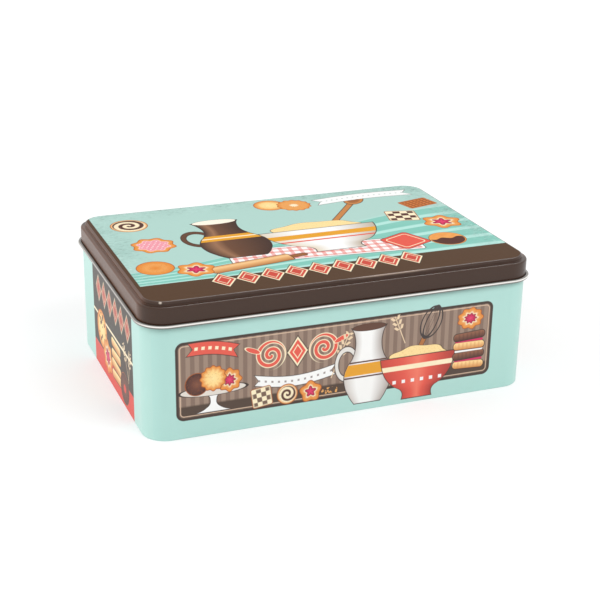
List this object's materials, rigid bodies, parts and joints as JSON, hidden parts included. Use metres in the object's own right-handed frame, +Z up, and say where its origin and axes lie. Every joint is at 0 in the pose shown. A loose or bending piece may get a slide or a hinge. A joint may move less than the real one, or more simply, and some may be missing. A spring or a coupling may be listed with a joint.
{
  "type": "cookie tin",
  "caption": "Flat rectangular tinplate cookie tin with rounded corners, a rolled-edge slip lid that lifts off, and a printed outside.",
  "frame": {"origin": "centre of the surface that the tin stands on", "axes": "+X along the tin's length to the right, +Y from front to back, +Z up"},
  "size_m": [0.2046, 0.1406, 0.0694],
  "materials": {
    "printed_wall": "gloss",
    "bare_base": "satin",
    "printed_lid": "gloss"
  },
  "bodies": {
    "tin": {"body_wall": "printed_wall", "base": "bare_base"},
    "lid": {"lid": "printed_lid"}
  },
  "joints": [
    {"name": "lid_lift", "type": "slide", "parent": "tin", "child": "lid", "axis": [0, 0, 1], "range_m": [0, 0.1]}
  ]
}
